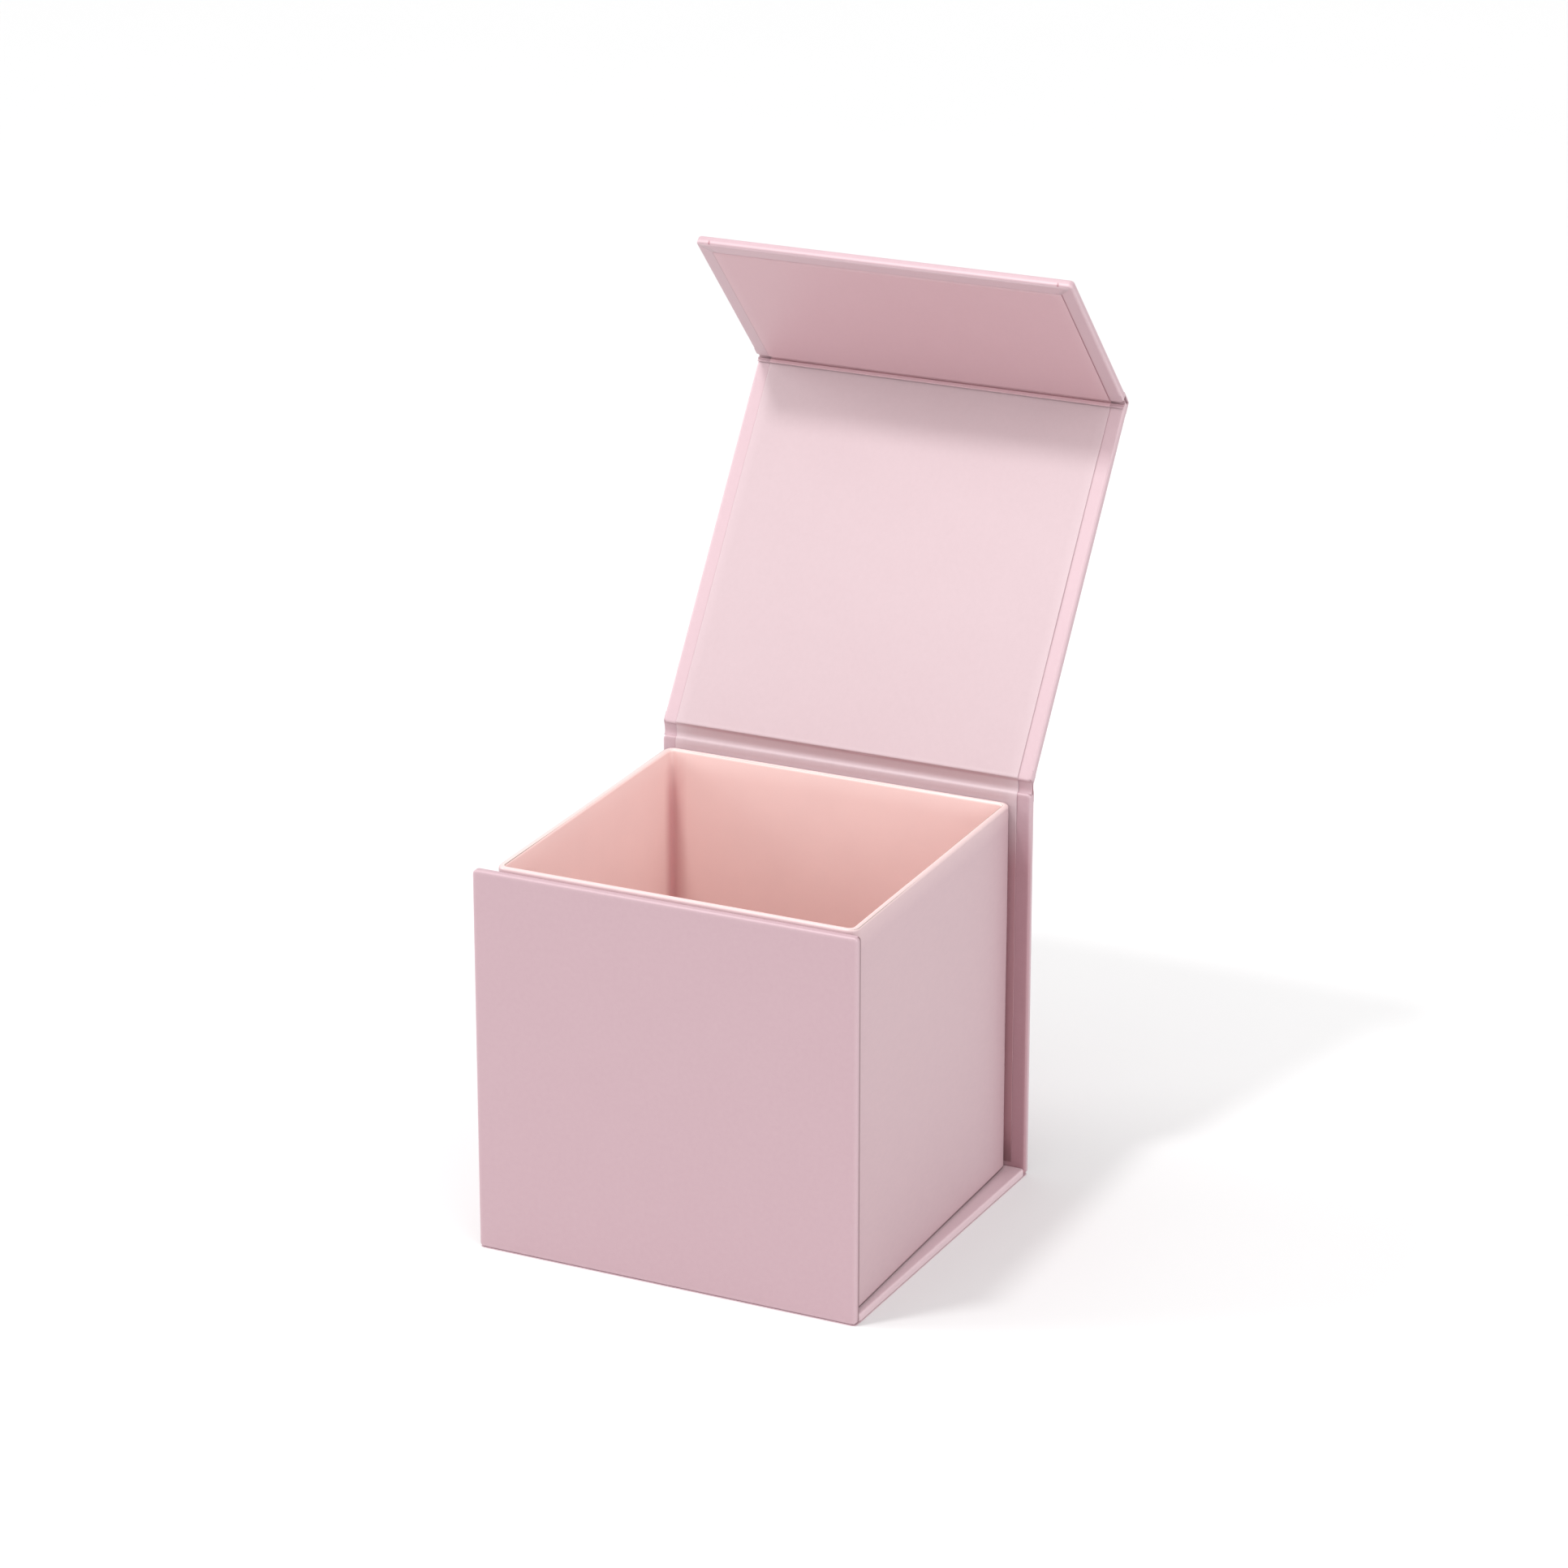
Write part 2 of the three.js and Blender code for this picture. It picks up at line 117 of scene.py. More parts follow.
# ---- Materials ----
class Shader:
    """A material's node tree, with short ways to add its nodes."""

    def __init__(self, name):
        self.material = bpy.data.materials.new(name)
        self.material.use_nodes = True
        self.tree = self.material.node_tree
        self.surface = self.tree.nodes["Principled BSDF"]
        self.place = self.node("ShaderNodeTexCoord").outputs["Object"]

    def node(self, kind, **settings):
        made = self.tree.nodes.new(kind)
        for key, value in settings.items():
            setattr(made, key, value)
        return made

    def link(self, source, target):
        self.tree.links.new(source, target)

    def set(self, **values):
        """Sets constants on the shader's own sockets."""
        for key, value in values.items():
            self.surface.inputs[key.replace("_", " ")].default_value = value

    def noise(self, per_metre, detail=3.0, roughness=0.55, stretch=(1, 1, 1)):
        """Noise of that many features in a metre, from 0 to 1."""
        mapping = self.node("ShaderNodeMapping")
        mapping.inputs["Scale"].default_value = stretch
        self.link(self.place, mapping.inputs["Vector"])
        made = self.node("ShaderNodeTexNoise")
        made.inputs["Scale"].default_value = per_metre
        made.inputs["Detail"].default_value = detail
        made.inputs["Roughness"].default_value = roughness
        self.link(mapping.outputs["Vector"], made.inputs["Vector"])
        return made.outputs["Fac"]

    def attribute(self, name):
        return self.node("ShaderNodeAttribute", attribute_name=name).outputs["Fac"]

    def spread(self, value, low, high):
        """Maps 0..1 to low..high."""
        made = self.node("ShaderNodeMapRange")
        made.inputs["To Min"].default_value = low
        made.inputs["To Max"].default_value = high
        self.link(value, made.inputs["Value"])
        return made.outputs["Result"]

    def mix(self, factor, first, second, blend="MIX"):
        """A mix of two colours, each a socket or an RGB triple."""
        made = self.node("ShaderNodeMix", data_type="RGBA", blend_type=blend)
        self.link(factor, made.inputs["Factor"])
        for socket, colour in zip(made.inputs[6:8], (first, second)):
            if isinstance(colour, tuple):
                socket.default_value = (*colour, 1)
            else:
                self.link(colour, socket)
        return made.outputs[2]

    def bump(self, height, distance, strength, below=None):
        made = self.node("ShaderNodeBump")
        made.inputs["Distance"].default_value = distance
        made.inputs["Strength"].default_value = strength
        self.link(height, made.inputs["Height"])
        if below is not None:
            self.link(below, made.inputs["Normal"])
        return made.outputs["Normal"]


def linear(red, green, blue):
    """An sRGB colour from 0 to 255 as linear values."""

    def one(value):
        share = value / 255
        return share / 12.92 if share <= 0.04045 else ((share + 0.055) / 1.055) ** 2.4

    return tuple(one(value) for value in (red, green, blue))


CREASE_SHADE_TINT = (0.60, 0.30, 0.34)  # painted shade: what is left of a paper's colour in the depth of a crease, a corner or a slot
GAP_SHADE_TINT = (0.10, 0.02, 0.03)  # and the painted shade in a gap that light doesn't reach
MOTTLE_PER_METRE = 60
FIBRES_PER_METRE = 700
GRAIN_PER_METRE = 2600


def covering_paper(name, colour, deep, pale, lit_inside=None):
    """Satin coated paper: a faint mottle, fine fibres, edges paler with wear and painted highlight, and
    painted shade in creases and gaps.

    lit_inside is the tone of the parts marked as the tray's inside: lighter and warmer, painted light."""
    s = Shader(name)
    mottle = s.noise(MOTTLE_PER_METRE, detail=4.0)
    fibres = s.noise(FIBRES_PER_METRE, detail=5.0, roughness=0.7, stretch=(1.0, 0.45, 1.0))
    grain = s.noise(GRAIN_PER_METRE, detail=2.0)
    # painted light: the tray's inside takes a lighter, warmer tone
    if lit_inside:
        colour = s.mix(s.attribute("lit_inside"), colour, lit_inside)
    tone = s.mix(s.spread(mottle, 0.0, 0.14), colour, deep)
    tone = s.mix(s.spread(fibres, -0.06, 0.14), tone, pale)
    # paler with wear and with painted highlight: along covered edges, round the tray's rim and at cut ends
    tone = s.mix(s.spread(s.attribute("wear_and_highlight"), 0.0, 0.7), tone, pale)
    # painted shade in creases, in the tray's inner corners, in the slots beside the tray and beside the
    # liners' edges
    tone = s.mix(s.attribute("painted_shade"), tone, CREASE_SHADE_TINT, blend="MULTIPLY")
    # painted shade: near-black lines in the gaps where the tray meets the base and the front panel
    tone = s.mix(s.attribute("gap_shade"), tone, GAP_SHADE_TINT, blend="MULTIPLY")
    s.link(tone, s.surface.inputs["Base Color"])
    s.link(s.spread(fibres, 0.38, 0.52), s.surface.inputs["Roughness"])
    soft = s.bump(mottle, distance=0.2 * MM, strength=0.12)
    rough = s.bump(fibres, distance=0.03 * MM, strength=0.25, below=soft)
    fine = s.bump(grain, distance=0.012 * MM, strength=0.25, below=rough)
    s.link(fine, s.surface.inputs["Normal"])
    s.set(Specular_IOR_Level=1.0, Sheen_Weight=0.08, Sheen_Roughness=0.5)
    return s.material


def greyboard():
    """Bare recycled board: grey-brown, cloudy and full of darker flecks."""
    s = Shader("greyboard")
    flecks = s.noise(per_metre=1400, detail=6.0, roughness=0.8)
    clouds = s.noise(per_metre=120)
    tone = s.mix(clouds, linear(168, 160, 150), linear(146, 138, 128))
    tone = s.mix(s.spread(flecks, -0.6, 1.2), tone, linear(112, 104, 96))
    s.link(tone, s.surface.inputs["Base Color"])
    s.link(s.spread(flecks, 0.85, 0.98), s.surface.inputs["Roughness"])
    s.link(s.bump(flecks, distance=0.08 * MM, strength=0.6), s.surface.inputs["Normal"])
    return s.material


def kraft_tape():
    """Brown paper tape, with fibres that run up and down."""
    s = Shader("kraft_tape")
    fibres = s.noise(per_metre=500, detail=5.0, stretch=(1, 1, 0.2))
    tone = s.mix(fibres, linear(196, 164, 120), linear(166, 132, 90))
    s.link(tone, s.surface.inputs["Base Color"])
    s.link(s.spread(fibres, 0.6, 0.85), s.surface.inputs["Roughness"])
    s.link(s.bump(fibres, distance=0.03 * MM, strength=0.5), s.surface.inputs["Normal"])
    return s.material


def nickel():
    """Plated metal with fine scratches across it."""
    s = Shader("nickel")
    scratches = s.noise(per_metre=300, detail=4.0, stretch=(1, 12, 1))
    tone = s.mix(scratches, linear(206, 204, 200), linear(182, 180, 176))
    s.link(tone, s.surface.inputs["Base Color"])
    s.link(s.spread(scratches, 0.18, 0.4), s.surface.inputs["Roughness"])
    s.set(Metallic=1.0)
    return s.material


COVER = covering_paper("cover_paper", linear(179, 147, 155), linear(166, 129, 139), linear(214, 188, 194))
# the liner paper's pink, made paler and greyer to paint in part of the sheen on the lid's inner face
LINER_SHEEN_TONED = covering_paper("liner_paper", linear(184, 160, 165), linear(173, 144, 151), linear(214, 192, 197))
# the flap's liner is the lid's liner paper, redder: painted light bounced from the pink lid onto the flap's
# shaded inner face
FLAP_LINER_BOUNCE_TINTED = covering_paper(
    "flap_liner_paper_bounce_tinted", linear(197, 159, 166), linear(181, 139, 148), linear(220, 192, 198),
)
# painted light: the tray's inside and its floor lining are lighter and warmer than its outside, standing in
# for light bounced round in the tray
TRAY_INSIDE_LIT = linear(236, 203, 198)
# the tray paper's pale tone also paints the highlight along its rim
TRAY_PAPER = covering_paper(
    "tray_paper", linear(178, 147, 154), linear(166, 130, 138), linear(232, 206, 202), lit_inside=TRAY_INSIDE_LIT,
)
TRAY_LINING = covering_paper("tray_lining", TRAY_INSIDE_LIT, linear(224, 186, 181), linear(232, 206, 202))
GREYBOARD = greyboard()
KRAFT = kraft_tape()
NICKEL = nickel()
CAD_FINISHES = {"board": GREYBOARD, "stay": KRAFT, "magnet": NICKEL, "lining": TRAY_LINING}


def finish_cad_nodes():
    """The pieces that keep their CAD shape: boards, tapes, magnets and the tray's floor lining."""
    for name, node in frame["nodes"].items():
        for word, material in CAD_FINISHES.items():
            if word in name:
                node.data.materials.clear()
                node.data.materials.append(material)


# ---- Meshes ----
def add_piece(name, points, faces, material, attributes=None):
    """A smooth-shaded mesh object in the shared frame, with its faces turned outwards.

    attributes gives a value per point under each name that the material reads."""
    mesh = bpy.data.meshes.new(name)
    mesh.from_pydata([tuple(p) for p in points], [], faces)
    for key, values in (attributes or {}).items():
        mesh.attributes.new(key, "FLOAT", "POINT").data.foreach_set("value", values.astype(np.float32))
    work = bmesh.new()
    work.from_mesh(mesh)
    bmesh.ops.recalc_face_normals(work, faces=work.faces)
    work.to_mesh(mesh)
    work.free()
    mesh.shade_smooth()
    mesh.materials.append(material)
    piece = bpy.data.objects.new(name, mesh)
    bpy.context.scene.collection.objects.link(piece)
    return piece


def steps(low, high, near=(), spacing=4 * MM):
    """Grid lines from low to high: some at given distances in from both ends, and even ones between."""
    near = sorted(near)
    start, end = low + near[-1], high - near[-1]
    count = max(2, round((end - start) / spacing))
    middle = np.linspace(start, end, count + 1)[1:-1]
    return np.concatenate([low + np.array(near), middle, (high - np.array(near))[::-1]])


def surface_grid(xs, ys, zs):
    """The points and quads of a block's surface on three sets of grid lines."""
    nx, ny, nz = len(xs), len(ys), len(zs)
    number = {}
    points = []

    def at(i, j, k):
        if (i, j, k) not in number:
            number[i, j, k] = len(points)
            points.append((xs[i], ys[j], zs[k]))
        return number[i, j, k]

    faces = []
    for k in (0, nz - 1):
        faces += [
            (at(i, j, k), at(i + 1, j, k), at(i + 1, j + 1, k), at(i, j + 1, k))
            for i in range(nx - 1) for j in range(ny - 1)
        ]
    for j in (0, ny - 1):
        faces += [
            (at(i, j, k), at(i + 1, j, k), at(i + 1, j, k + 1), at(i, j, k + 1))
            for i in range(nx - 1) for k in range(nz - 1)
        ]
    for i in (0, nx - 1):
        faces += [
            (at(i, j, k), at(i, j + 1, k), at(i, j + 1, k + 1), at(i, j, k + 1))
            for j in range(ny - 1) for k in range(nz - 1)
        ]
    return np.array(points), faces


def rounded(a, b):
    """Maps a square's corner region, where a and b run from 0 to 1 at the edges, onto a quarter disc."""
    return a * np.sqrt(1 - b * b / 2), b * np.sqrt(1 - a * a / 2)


def round_block(points, half, corner_radius, edge_radius):
    """Rounds the four upright corners and all edges of a block's surface about the origin.

    Gives the new points, and how far each now lies in from the outline and below the faces."""
    size = np.abs(points)
    sign = np.where(points < 0, -1.0, 1.0)
    in_x, in_y, depth = (half - size).T
    in_corner = (in_x < corner_radius) & (in_y < corner_radius)
    u = np.where(in_corner, 1 - in_x / corner_radius, 0)
    v = np.where(in_corner, 1 - in_y / corner_radius, 0)
    u, v = rounded(u, v)
    reach = np.maximum(np.hypot(u, v), 1e-9)
    inset = np.where(in_corner, corner_radius * (1 - reach), np.minimum(in_x, in_y))
    on_edge = (inset < edge_radius) & (depth < edge_radius)
    a = np.where(on_edge, 1 - inset / edge_radius, 0)
    b = np.where(on_edge, 1 - depth / edge_radius, 0)
    a, b = rounded(a, b)
    new_inset = np.where(on_edge, edge_radius * (1 - a), inset)
    new_depth = np.where(on_edge, edge_radius * (1 - b), depth)
    arm = (corner_radius - new_inset) / reach
    new = size.copy()
    new[:, 0] = np.where(in_corner, half[0] - corner_radius + u * arm, new[:, 0])
    new[:, 1] = np.where(in_corner, half[1] - corner_radius + v * arm, new[:, 1])
    along_x = ~in_corner & on_edge & (in_x <= in_y)
    along_y = ~in_corner & on_edge & (in_x > in_y)
    new[:, 0] = np.where(along_x, half[0] - new_inset, new[:, 0])
    new[:, 1] = np.where(along_y, half[1] - new_inset, new[:, 1])
    new[:, 2] = half[2] - new_depth
    return new * sign, new_inset, new_depth


def waves(points, size, amplitude, seed):
    """Smooth random heights at points, with features of about that size."""
    shift = Vector((seed * 3.7, seed * 1.3, seed * 2.1))
    return amplitude * np.array([noise.noise(Vector(p) / size + shift) for p in points])


WEAR_AND_HIGHLIGHT_WIDTH = 0.9 * MM  # of the pale line along a covered edge, part wear and part painted highlight
LIT_MARGIN_WIDTH = 6 * MM  # of the paler margin round the base, painted light on its ledges beside the tray
CREASE_WIDTH = 0.4 * MM  # of the shade beside a liner's edge
WAVE_SIZE = 38 * MM  # of the boards' gentle unevenness
WAVE_HEIGHT = 0.07 * MM
FLAT_MARGIN = 8 * MM  # the unevenness grows from nothing over this much of a board's edge
EDGE_WEAR_AND_HIGHLIGHT = 0.4  # how pale a covered edge is, from wear and painted highlight
FACE_SHARE = 0.98  # of the half thickness: points beyond it lie on a board's faces


def slab(name, lo, hi, thin, body, seed, inner, seam_shade=0.0, margin=0.0, lit_margin=0.0, shade=None,
         uneven=WAVE_HEIGHT):
    """A covered board: a block with rounded edges and corners, and faces that aren't quite flat.

    lo and hi are its corners in the closed box, and thin is the axis of its thickness. inner is the
    side of its inner face on that axis, 1 or -1. seam_shade is how dark the painted shade line is
    beside the liner's long edges, margin how pale the turned-in paper is, and lit_margin how pale it is
    near the outline, painted light. shade gives the painted shade of creases and gaps at points about
    the slab's centre, with the inner face up. uneven is the height of its waves."""
    order = {"y": (0, 2, 1), "z": (0, 1, 2)}[thin]
    centre = np.array((lo + hi) / 2)[list(order)]
    half = np.array((hi - lo) / 2)[list(order)]
    edge = min(EDGE_RADIUS, 0.8 * half[2])
    near = [0, edge / 3, 2 * edge / 3, edge, CORNER_RADIUS]
    if seam_shade:
        near += [LINER_INSET - CREASE_WIDTH, LINER_INSET, LINER_INSET + CREASE_WIDTH]
    if lit_margin:
        near += [LIT_MARGIN_WIDTH / 2, LIT_MARGIN_WIDTH]
    xs = steps(-half[0], half[0], near)
    ys = steps(-half[1], half[1], near)
    zs = steps(-half[2], half[2], near[:4], spacing=0.6 * MM)
    points, faces = surface_grid(xs, ys, zs)
    flat = points.copy()
    points, inset, depth = round_block(points, half, CORNER_RADIUS, edge)
    fade = np.clip(inset / FLAT_MARGIN, 0, 1)
    on_face = np.abs(points[:, 2]) > FACE_SHARE * half[2]
    points[:, 2] += waves(flat, WAVE_SIZE, uneven, seed) * fade * on_face
    # a pale line along covered edges, part wear and part painted highlight
    wear_and_highlight = EDGE_WEAR_AND_HIGHLIGHT * np.clip(1 - inset / WEAR_AND_HIGHLIGHT_WIDTH, 0, 1) * np.clip(1 - depth / WEAR_AND_HIGHLIGHT_WIDTH, 0, 1)
    # painted light: a paler margin round the base, lifting its ledges out of the tray's shade
    wear_and_highlight = np.maximum(wear_and_highlight, lit_margin * np.clip(2 - 2 * inset / LIT_MARGIN_WIDTH, 0, 1))
    flat[:, 2] *= inner
    wear_and_highlight = np.maximum(wear_and_highlight, margin * (flat[:, 2] > 0))
    # painted shade: a dark line on the inner face beside the liner's long edges
    beside = np.abs(half[0] - np.abs(flat[:, 0]) - LINER_INSET)
    painted_shade = seam_shade * np.clip(1 - beside / CREASE_WIDTH, 0, 1) * (flat[:, 2] > 0)
    gap_shade = np.zeros(len(points))
    if shade:
        more, gap_shade = shade(flat, half)
        painted_shade = np.maximum(painted_shade, more)
    points += centre
    back = [order.index(axis) for axis in range(3)]
    placed = [TO_REST[body] @ Vector(p) for p in points[:, back]]
    attributes = {"wear_and_highlight": wear_and_highlight, "painted_shade": painted_shade, "gap_shade": gap_shade}
    piece = add_piece(name, placed, faces, COVER, attributes)
    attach(piece, body)
    return piece


def smooth_line(points, per_span):
    """A Catmull-Rom line through (y, z) points, with that many steps in each span."""
    points = [np.array(p, float) for p in points]
    padded = [2 * points[0] - points[1], *points, 2 * points[-1] - points[-2]]
    line = []
    for a, b, c, d in zip(padded, padded[1:], padded[2:], padded[3:]):
        for t in np.linspace(0, 1, per_span, endpoint=False):
            line.append(
                0.5 * (2 * b + (c - a) * t + (2 * a - 5 * b + 4 * c - d) * t**2
                       + (3 * b - a - 3 * c + d) * t**3)
            )
    return np.array([*line, points[-1]])


def normals_of(line):
    """The unit normals of a line in (y, z), to the left of its direction."""
    along = np.gradient(line, axis=0)
    along /= np.linalg.norm(along, axis=1)[:, None]
    return np.column_stack([-along[:, 1], along[:, 0]])


PAPER_WAVE_SIZE = 16 * MM  # of the unevenness of the paper over a joint
PAPER_WAVE_HEIGHT = 0.05 * MM
END_WEAR = 0.3  # how pale such a paper is at its cut ends
END_WORN_WIDTH = 0.5 * MM


def ribbon(name, line, thickness, half_width, material, painted_shade, seed):
    """Paper along a line in (y, z), between -half_width and half_width in X.

    The line is the paper's shown side, on the left of its direction. painted_shade gives a painted shade
    per point."""
    under = line - normals_of(line) * thickness
    loop = np.concatenate([line, under[::-1]])
    shade = np.concatenate([painted_shade, painted_shade[::-1]])
    xs = steps(-half_width, half_width, [0, thickness, 3 * MM], spacing=5 * MM)
    count = len(loop)
    points = np.array([(x, y, z) for x in xs for y, z in loop])
    wave = waves(points, PAPER_WAVE_SIZE, PAPER_WAVE_HEIGHT, seed)
    normal = normals_of(line)
    both = np.concatenate([normal, normal[::-1]])
    points[:, 1:] += np.tile(both, (len(xs), 1)) * wave[:, None]
    faces = []
    for i in range(len(xs) - 1):
        for j in range(count):
            k = (j + 1) % count
            faces.append((i * count + j, (i + 1) * count + j, (i + 1) * count + k, i * count + k))
    half_count = count // 2
    for i in (0, len(xs) - 1):
        for j in range(half_count - 1):
            a, b = i * count + j, i * count + j + 1
            c, d = i * count + count - 2 - j, i * count + count - 1 - j
            faces.append((a, b, c, d))
    near_end = np.clip(1 - (half_width - np.abs(xs)) / END_WORN_WIDTH, 0, 1)
    wear_and_highlight = END_WEAR * np.repeat(near_end, count)
    attributes = {"wear_and_highlight": wear_and_highlight, "painted_shade": np.tile(shade, len(xs))}
    return add_piece(name, points, faces, material, attributes)


# ---- The case's panels ----
TRAY_SHADE_LINE_WIDTH = 0.8 * MM  # of the painted shade line where the front panel meets the tray
SLOT_WIDTH = 7 * MM  # of the back panel's strip that shows beside the tray
SLOT_SHADE = 0.55
LINER_SLOT_SHADE = 0.8
SLOT_SHADE_START = 6 * MM  # the shade begins this far below the back panel's top
SLOT_SHADE_LENGTH = 14 * MM  # and is full this much lower
LID_MARGIN = 0.45  # how pale the turned-in paper is
FLAP_MARGIN = 0.5
# how pale the base's margin is, painted light
BASE_LIT_MARGIN = 0.9
BASE_WAVE_HEIGHT = 0.02 * MM
UNDERSIDE_SHEET = 0.2 * MM  # the underside's paper, which runs on under the front and back panels


def slot_shade(below_top):
    """How much of the slot's shade there is at distances below the back panel's top."""
    return np.clip((below_top - SLOT_SHADE_START) / SLOT_SHADE_LENGTH, 0, 1)


def shade_beside_tray(points, half):
    """Painted shade: a dark line on the front panel's ends, where they meet the tray."""
    on_end = half[0] - np.abs(points[:, 0]) < EDGE_RADIUS
    to_tray = half[2] - points[:, 2]
    line = on_end * np.clip(1.6 - to_tray / TRAY_SHADE_LINE_WIDTH, 0, 1)
    return line, 0.8 * line


def behind_tray(points, half):
    """The shade down the back panel's inner face, in the slots beside the tray."""
    in_slot = (half[0] - np.abs(points[:, 0]) < SLOT_WIDTH) * (points[:, 2] > 0)
    return SLOT_SHADE * in_slot * slot_shade(half[1] - points[:, 1]), np.zeros(len(points))


def case_panels():
    """The five covered boards, and the paper under the box."""
    front = closed_box("front_wrap", "box")
    base_lo, base_hi = closed_box("base_wrap", "box")
    core_lo = Vector((base_lo.x, front[1].y, UNDERSIDE_SHEET / 2))
    core_hi = Vector((base_hi.x, BACK_LO.y, base_hi.z))
    panels = [
        ("front_cover", front, "y", "box", 1, {"shade": shade_beside_tray}),
        ("base_cover", (core_lo, core_hi), "z", "box", 1, {"lit_margin": BASE_LIT_MARGIN, "uneven": BASE_WAVE_HEIGHT}),
        ("back_cover", (BACK_LO, BACK_HI), "y", "box", -1, {"seam_shade": 0.3, "shade": behind_tray}),
        ("lid_cover", (LID_LO, LID_HI), "z", "lid", -1, {"seam_shade": 0.25, "margin": LID_MARGIN}),
        ("flap_cover", (FLAP_LO, FLAP_HI), "y", "flap", 1, {"seam_shade": 1.0, "margin": FLAP_MARGIN}),
    ]
    for seed, (name, (lo, hi), thin, body, inner, look) in enumerate(panels):
        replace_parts(slab(name, lo, hi, thin, body, seed, inner, **look), name.replace("cover", "wrap"))
    under_hi = Vector((base_hi.x, base_hi.y, UNDERSIDE_SHEET))
    slab("underside_cover", base_lo, under_hi, "z", "box", len(panels), 1, uneven=0.0)


# ---- The tray ----
TRAY_WALL = (TRAY_HI.x - TRAY_LO.x - (FLOOR_HI.x - FLOOR_LO.x)) / 2
TRAY_CORNER_RADIUS = 3 * MM
RIM_RADIUS = 0.8 * MM
# of the painted highlight along the top of the tray's rim
RIM_HIGHLIGHT_WIDTH = 1.1 * MM
FOOT_RADIUS = 0.5 * MM
UNDER_TURN_IN = 12 * MM  # how far the paper is turned in under the tray
UNDER_PAPER = 0.3 * MM
FOOT_SHADE_HEIGHT = 0.45 * MM  # of the painted shade line where the tray meets the base
CORNER_SHADE_WIDTH = 4 * MM
CORNER_SHADE_START = 14 * MM  # the corners' shade is full this far below the rim
TRAY_WAVE_SIZE = 34 * MM
TRAY_WAVE_HEIGHT = 0.1 * MM
WALL_STEPS = 16  # along one wall
ARC_STEPS = 6  # round one corner


def tray_rack():
    """How far the tray's back lies to the right of its front, from the frame's own mesh."""
    vertices = [v.co for v in frame["nodes"]["tray_wrap"].data.vertices]
    band = 2 * TRAY_CORNER_RADIUS

    def left_edge(close):
        return min(v.x for v in vertices if close(v.y))

    front = left_edge(lambda y: y < TRAY_LO.y + band)
    back = left_edge(lambda y: y > TRAY_HI.y - band)
    return back - front


RACK = tray_rack()


def tray_outline(depth):
    """The tray's outline at a depth below its outer face, before it is racked."""
    width = TRAY_HI.x - TRAY_LO.x - abs(RACK)
    half_x = width / 2 - depth
    half_y = (TRAY_HI.y - TRAY_LO.y) / 2 - depth
    radius = max(TRAY_CORNER_RADIUS - depth, 0.25 * MM)
    middle_y = (TRAY_LO.y + TRAY_HI.y) / 2
    points = []
    for turn, (sx, sy) in enumerate([(1, -1), (1, 1), (-1, 1), (-1, -1)]):
        centre = np.array([sx * (half_x - radius), middle_y + sy * (half_y - radius)])
        start = math.radians(90 * turn - 90)
        arc = [
            centre + radius * np.array([math.cos(start + a), math.sin(start + a)])
            for a in np.linspace(0, math.pi / 2, ARC_STEPS + 1)
        ]
        if points:
            points += straight(points[-1], arc[0])
        points += arc
    return np.array(points + straight(points[-1], points[0]))


def straight(a, b):
    """Points between two others without the ends, closer together near them."""
    turn = np.linspace(0, math.pi, WALL_STEPS + 1)[1:-1]
    return [a + (b - a) * (1 - math.cos(t)) / 2 for t in turn]


def tray_profile():
    """(depth, height) pairs from the underside, up the outside, over the rim and down the inside."""
    bottom, rim = TRAY_LO.z, TRAY_HI.z
    profile = [(UNDER_TURN_IN, bottom), (4 * MM, bottom)]
    for a in np.linspace(0, math.pi / 2, 4):
        depth = FOOT_RADIUS * (1 - math.sin(a))
        profile.append((depth, bottom + FOOT_RADIUS * (1 - math.cos(a))))
    profile += [(0, bottom + 0.85 * MM), (0, bottom + 1.5 * MM)]
    profile += [(0, z) for z in np.linspace(bottom, rim, 18)[1:-1]]
    for a in np.linspace(0, math.pi, 9):
        depth = TRAY_WALL / 2 - TRAY_WALL / 2 * math.cos(a)
        profile.append((depth, rim - RIM_RADIUS + RIM_RADIUS * math.sin(a)))
    profile += [(TRAY_WALL, z) for z in np.linspace(rim, FLOOR_LO.z, 18)[1:]]
    profile += [(TRAY_WALL, bottom + UNDER_PAPER), (UNDER_TURN_IN, bottom + UNDER_PAPER)]
    return profile


